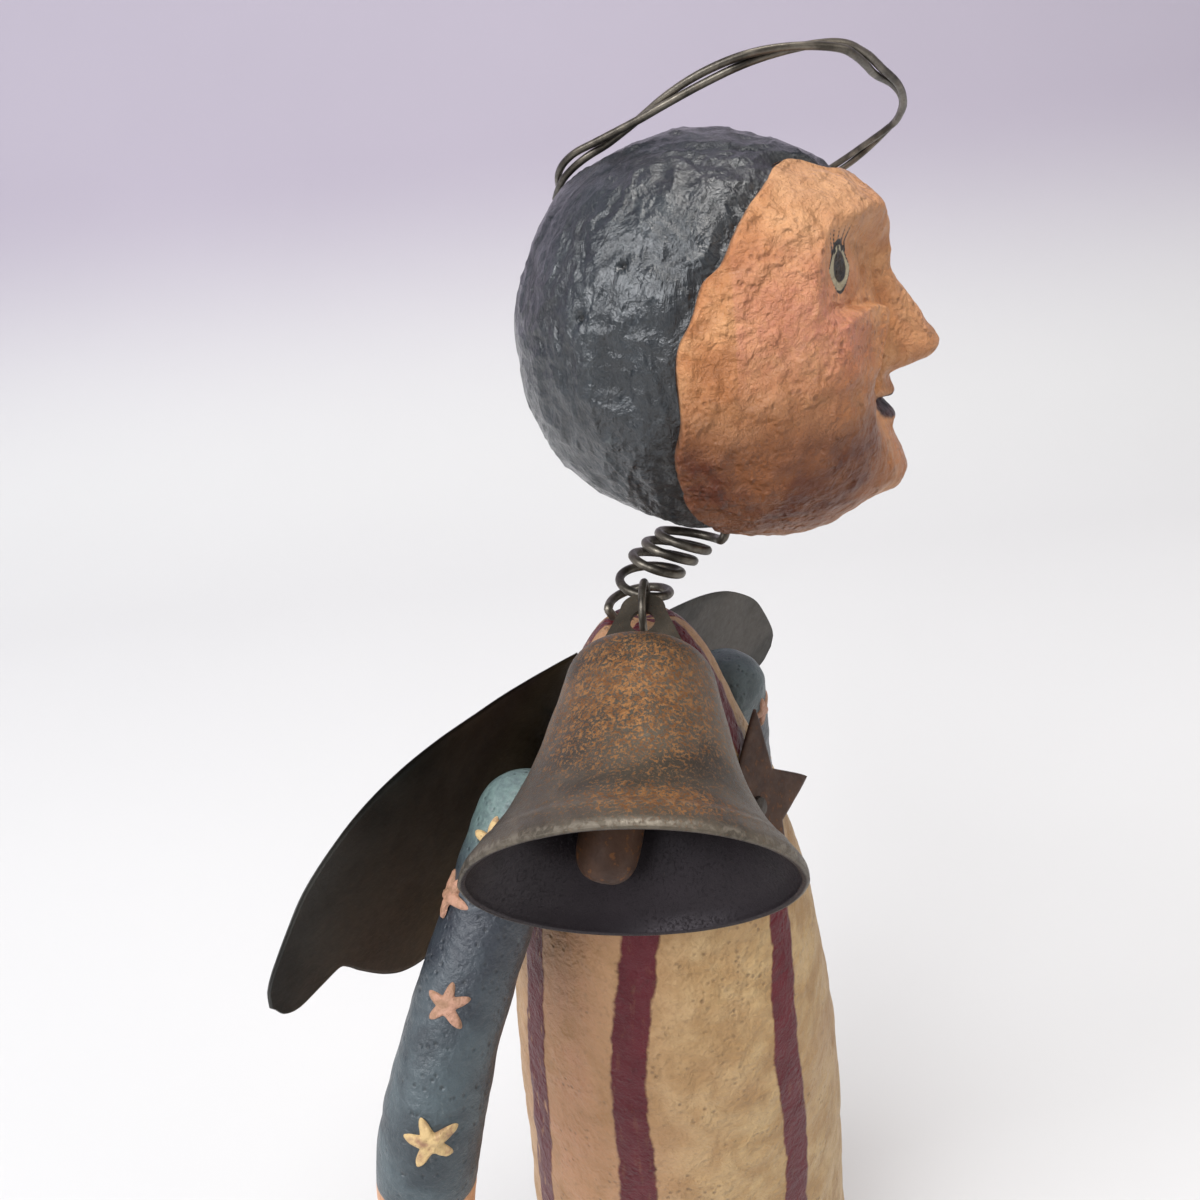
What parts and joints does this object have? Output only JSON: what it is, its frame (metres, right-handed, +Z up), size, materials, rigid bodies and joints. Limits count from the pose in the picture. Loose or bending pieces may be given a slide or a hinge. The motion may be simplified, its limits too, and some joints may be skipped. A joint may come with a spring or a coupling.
{
  "type": "folk art doll",
  "caption": "Standing papier-mache angel doll with a bobbing spring neck, tin wings, wire halo, swinging arms and a hanging bell with a clapper.",
  "frame": {"origin": "middle of the flat base, at floor level", "axes": "+Z up the doll, -Y the way its chest faces, +X to its own left"},
  "size_m": [0.148, 0.0887, 0.3046],
  "materials": {
    "dress_paper": "painted, sealed satin, pitted",
    "sleeve_paper": "painted, sealed satin",
    "flesh_paper": "painted, sealed satin, pitted",
    "core_paper": "bare pulp",
    "hair_paper": "painted gloss, wrinkled",
    "star_clay": "painted matt, lumpy",
    "wing_tin": "dark satin patina",
    "rusty_tin": "rusted",
    "nail_steel": "darkened",
    "steel_wire": "dark annealed",
    "bell_bronze": "rust-speckled bronze brown"
  },
  "bodies": {
    "torso": {"body_shell": "dress_paper", "base_disc": "dress_paper", "arm_wire": "steel_wire", "right_wing": "wing_tin", "left_wing": "wing_tin", "right_wing_nail_upper": "nail_steel", "right_wing_nail_lower": "nail_steel", "left_wing_nail_upper": "nail_steel", "left_wing_nail_lower": "nail_steel", "tin_star": "rusty_tin", "star_nail": "nail_steel"},
    "neck": {"neck_spring": "steel_wire"},
    "head": {"head_core": "core_paper", "hair_cap": "hair_paper", "face_mask": "flesh_paper", "halo_wire": "steel_wire"},
    "hook": {"bell_hook": "steel_wire"},
    "bell": {"bell_cup": "bell_bronze", "bell_ear": "bell_bronze", "clapper_staple": "steel_wire"},
    "clapper": {"clapper_wire": "steel_wire", "clapper_bob": "rusty_tin"},
    "right_arm": {"right_sleeve": "sleeve_paper", "right_hand": "flesh_paper", "right_star_a": "star_clay", "right_star_b": "star_clay", "right_star_c": "star_clay", "right_star_d": "star_clay", "right_star_e": "star_clay"},
    "left_arm": {"left_sleeve": "sleeve_paper", "left_hand": "flesh_paper", "left_star_a": "star_clay", "left_star_b": "star_clay", "left_star_c": "star_clay", "left_star_d": "star_clay", "left_star_e": "star_clay"}
  },
  "joints": [
    {"name": "head_sway", "type": "hinge", "parent": "torso", "child": "neck", "pos_m": [0.0035, -0.002, 0.227], "axis": [0, 1, 0], "range_deg": [-10, 10], "stiffness_Nm_per_rad": 0.5, "springref_deg": -0.89, "deforming": ["neck_spring"]},
    {"name": "head_nod", "type": "hinge", "parent": "neck", "child": "head", "pos_m": [0.0035, -0.002, 0.227], "axis": [1, 0, 0], "range_deg": [-10, 10], "stiffness_Nm_per_rad": 0.5, "springref_deg": -0.73, "deforming": ["neck_spring"]},
    {"name": "hook_swing", "type": "hinge", "parent": "torso", "child": "hook", "pos_m": [-0.0018, -0.00322, 0.22449], "axis": [-0.5373, 0.8434, 0], "range_deg": [0, 25]},
    {"name": "bell_sway", "type": "hinge", "parent": "hook", "child": "bell", "pos_m": [-0.00774, -0.007, 0.22343], "axis": [-0.8434, -0.5373, 0], "range_deg": [-2, 12]},
    {"name": "clapper_swing", "type": "hinge", "parent": "bell", "child": "clapper", "pos_m": [-0.01634, -0.01248, 0.2172], "axis": [-0.5373, 0.8434, 0], "range_deg": [0, 40]},
    {"name": "right_arm_swing", "type": "hinge", "parent": "torso", "child": "right_arm", "pos_m": [-0.0305, 0.003, 0.1914], "axis": [-1, 0, 0], "range_deg": [-12, 3]},
    {"name": "left_arm_swing", "type": "hinge", "parent": "torso", "child": "left_arm", "pos_m": [0.0305, 0.003, 0.1914], "axis": [-1, 0, 0], "range_deg": [-7, 100]}
  ]
}
